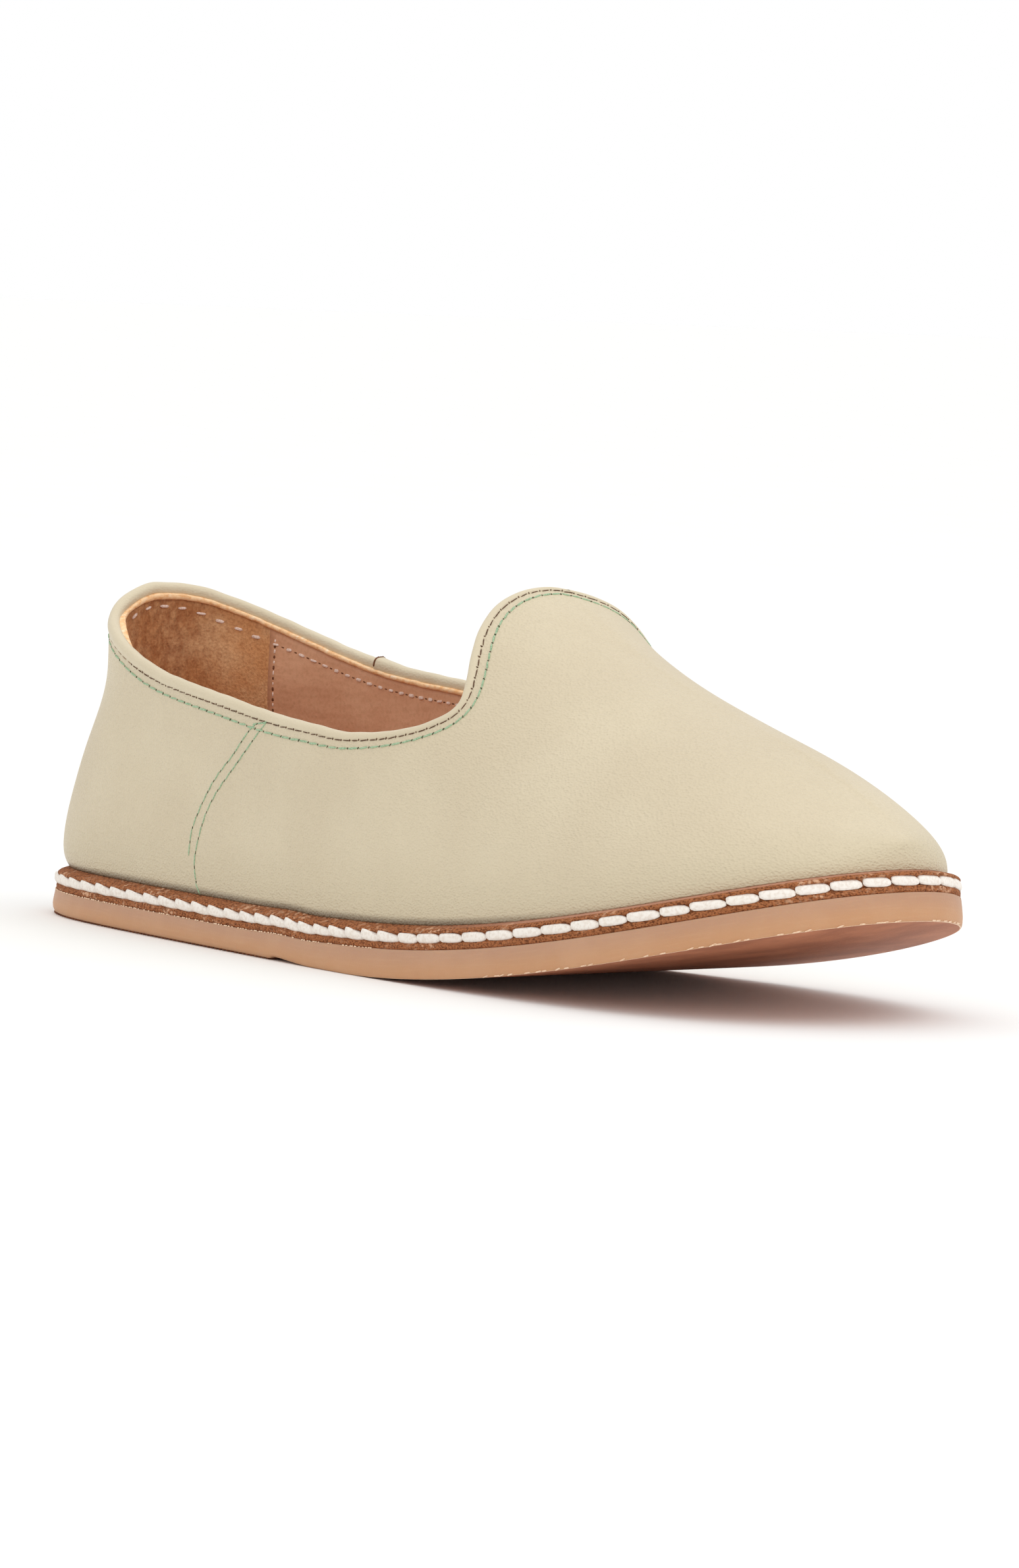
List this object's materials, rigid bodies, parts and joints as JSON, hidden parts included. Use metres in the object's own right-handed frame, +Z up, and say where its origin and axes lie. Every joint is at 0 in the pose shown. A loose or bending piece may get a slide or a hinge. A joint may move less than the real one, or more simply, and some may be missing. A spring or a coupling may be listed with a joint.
{
  "type": "slip-on shoe",
  "caption": "Flat leather slip-on shoe for the right foot with a raised tongue, rolled collar binding, stitched welt and gum-rubber sole with toe spring.",
  "frame": {"origin": "middle of the shoe's length and width, on the floor it stands on", "axes": "+X from heel to toe, +Y to the inner side of the foot, +Z up"},
  "size_m": [0.262, 0.0844, 0.0822],
  "materials": {
    "upper_leather": "smooth full-grain, soft sheen",
    "binding_leather": "smooth, rolled edge",
    "lining_suede": "suede nap",
    "lining_leather": "smooth, matte",
    "lining_edge": "raw cut edge",
    "welt_leather": "rough cut edge",
    "insole_leather": "matte",
    "gum_rubber": "satin, slightly translucent",
    "tread_rubber": "ribbed matte",
    "green_thread": "twisted thread",
    "brown_thread": "twisted thread",
    "lining_thread": "twisted thread",
    "welt_thread": "thick waxed thread"
  },
  "bodies": {
    "root": {"outsole": "gum_rubber", "welt": "welt_leather", "upper": "upper_leather", "collar_binding": "binding_leather", "insole": "insole_leather"}
  },
  "joints": []
}
